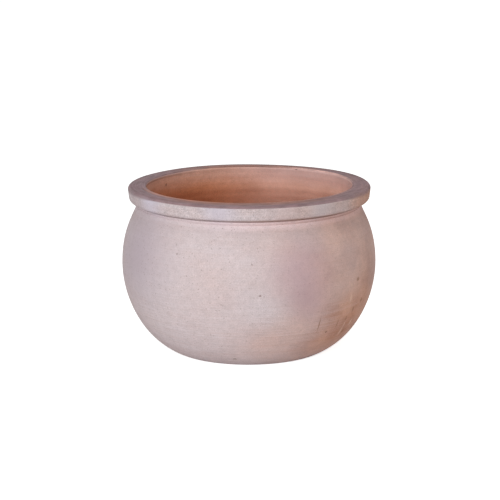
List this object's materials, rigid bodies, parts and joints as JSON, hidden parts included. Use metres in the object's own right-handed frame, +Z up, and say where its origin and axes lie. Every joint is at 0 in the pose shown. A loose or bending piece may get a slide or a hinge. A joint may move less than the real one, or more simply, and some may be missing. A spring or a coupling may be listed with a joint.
{
  "type": "bowl planter",
  "caption": "Round-bellied terracotta bowl planter with a thick rolled rim, a recessed foot and a rubber plug that lifts out of its drain hole.",
  "frame": {"origin": "centre of the foot, on the ground that the pot stands on", "axes": "+Z up along the pot's axis of turning, out of its mouth; -Y towards the picture's viewer; the channel across the foot runs along X"},
  "size_m": [0.4, 0.4, 0.26],
  "materials": {
    "terracotta": "matte",
    "plug_rubber": "matte"
  },
  "bodies": {
    "pot": {"bowl": "terracotta"},
    "plug": {"drain_plug": "plug_rubber"}
  },
  "joints": [
    {"name": "plug_lift", "type": "slide", "parent": "pot", "child": "plug", "axis": [0, 0, 1], "range_m": [0, 0.26]}
  ]
}
